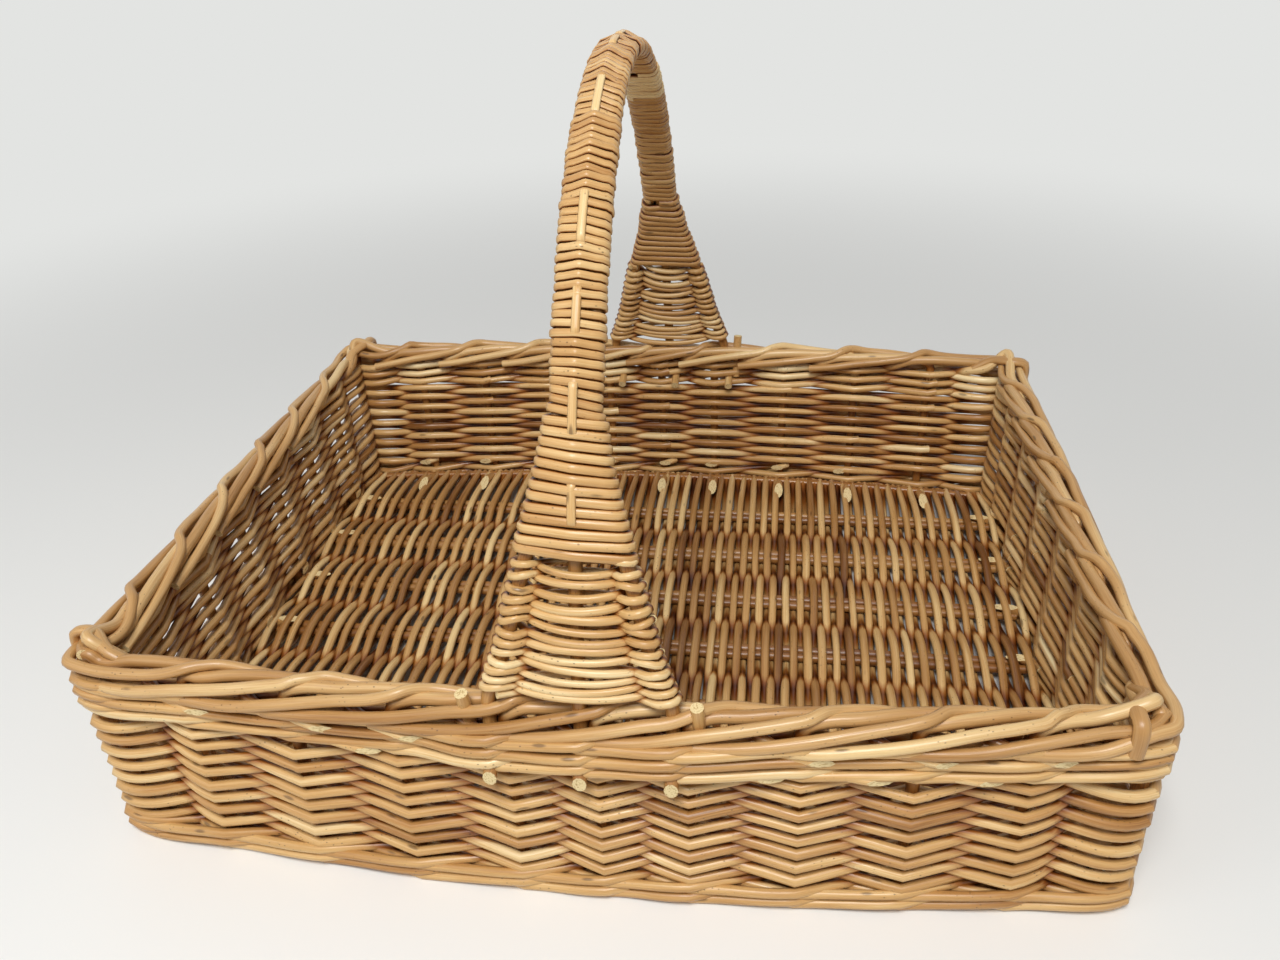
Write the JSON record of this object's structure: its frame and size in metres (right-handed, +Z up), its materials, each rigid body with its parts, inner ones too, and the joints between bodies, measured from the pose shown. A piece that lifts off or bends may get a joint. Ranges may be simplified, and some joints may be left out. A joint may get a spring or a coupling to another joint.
{
  "type": "trug garden basket",
  "caption": "Large rectangular woven willow trug with upright sides, a plaited border and one fixed arched handle over its short axis.",
  "frame": {"origin": "middle of the box's lower face, on the surface that the basket stands on", "axes": "+X along the basket's length, +Y from the front wall to the back wall, +Z up; the handle's arch lies in the YZ plane"},
  "size_m": [0.5794, 0.4753, 0.4018],
  "materials": {
    "weaver_willow": "satin",
    "border_willow": "satin",
    "stake_willow": "satin",
    "base_willow": "satin",
    "binding_willow": "satin"
  },
  "bodies": {
    "root": {"back_border": "border_willow", "back_bottom_wale": "weaver_willow", "back_randing": "weaver_willow", "back_stakes": "stake_willow", "back_top_wale": "weaver_willow", "base_edge_sticks": "stake_willow", "base_stick_pairs": "stake_willow", "base_weave": "base_willow", "corner_posts": "stake_willow", "front_border": "border_willow", "front_bottom_wale": "weaver_willow", "front_randing": "weaver_willow", "front_stakes": "stake_willow", "front_top_wale": "weaver_willow", "handle_binding_back": "binding_willow", "handle_binding_foot_back": "binding_willow", "handle_binding_foot_front": "binding_willow", "handle_binding_front": "binding_willow", "handle_binding_top": "binding_willow", "handle_bow_left": "stake_willow", "handle_bow_middle": "stake_willow", "handle_bow_right": "stake_willow", "handle_foot_weave_back": "weaver_willow", "handle_foot_weave_front": "weaver_willow", "handle_leader": "binding_willow", "left_border": "border_willow", "left_bottom_wale": "weaver_willow", "left_randing": "weaver_willow", "left_stakes": "stake_willow", "left_top_wale": "weaver_willow", "right_border": "border_willow", "right_bottom_wale": "weaver_willow", "right_randing": "weaver_willow", "right_stakes": "stake_willow", "right_top_wale": "weaver_willow"}
  },
  "joints": []
}
